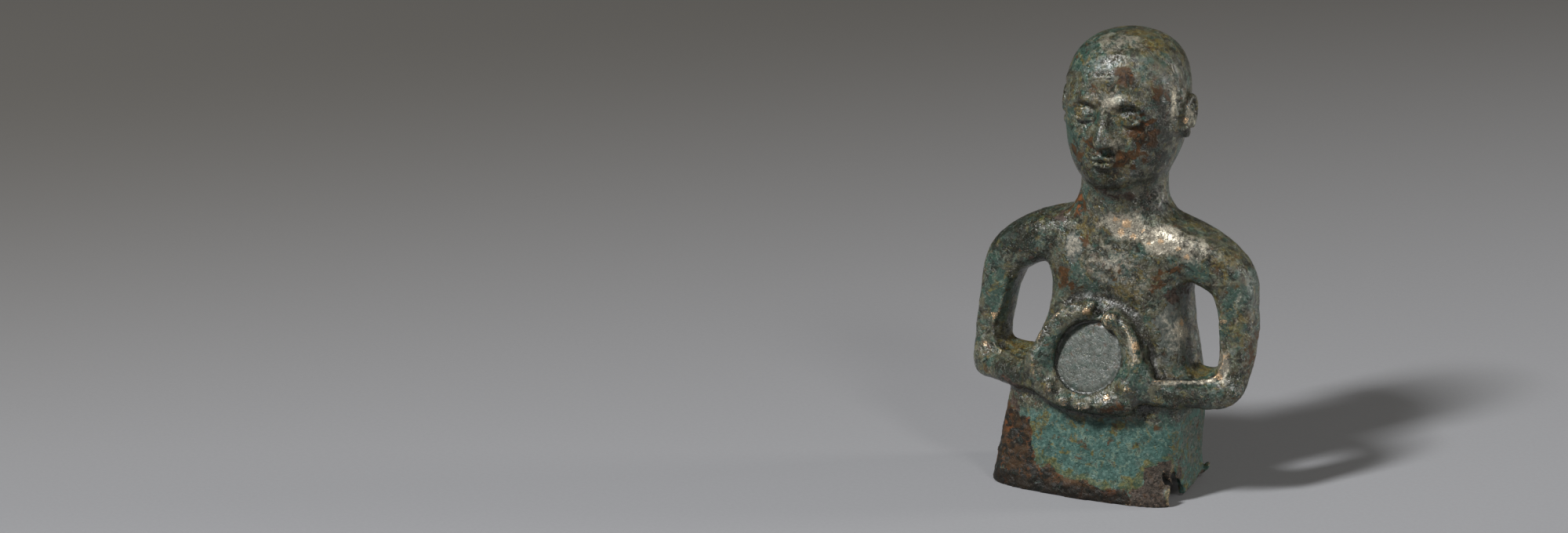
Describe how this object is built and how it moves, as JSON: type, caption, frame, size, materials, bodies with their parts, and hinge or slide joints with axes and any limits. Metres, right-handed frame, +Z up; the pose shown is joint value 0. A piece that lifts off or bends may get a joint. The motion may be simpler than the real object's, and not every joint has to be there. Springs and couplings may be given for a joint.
{
  "type": "cast bronze figurine",
  "caption": "Bald half-length figurine with arms akimbo holding a round dish at the belly, cast in one piece on a hollow rectangular sleeve open underneath.",
  "frame": {"origin": "centre of the figure's bounding box, on the plane of the sleeve's rim", "axes": "+Z up the figure from the rim of the sleeve to the crown, -Y the way the figure faces, +X to the figure's left"},
  "size_m": [0.0454, 0.0272, 0.07],
  "materials": {
    "bronze": "old cast bronze, teal green and brown patina with rust stains, worn bright on the high points"
  },
  "bodies": {
    "root": {"figurine": "bronze"}
  },
  "joints": []
}
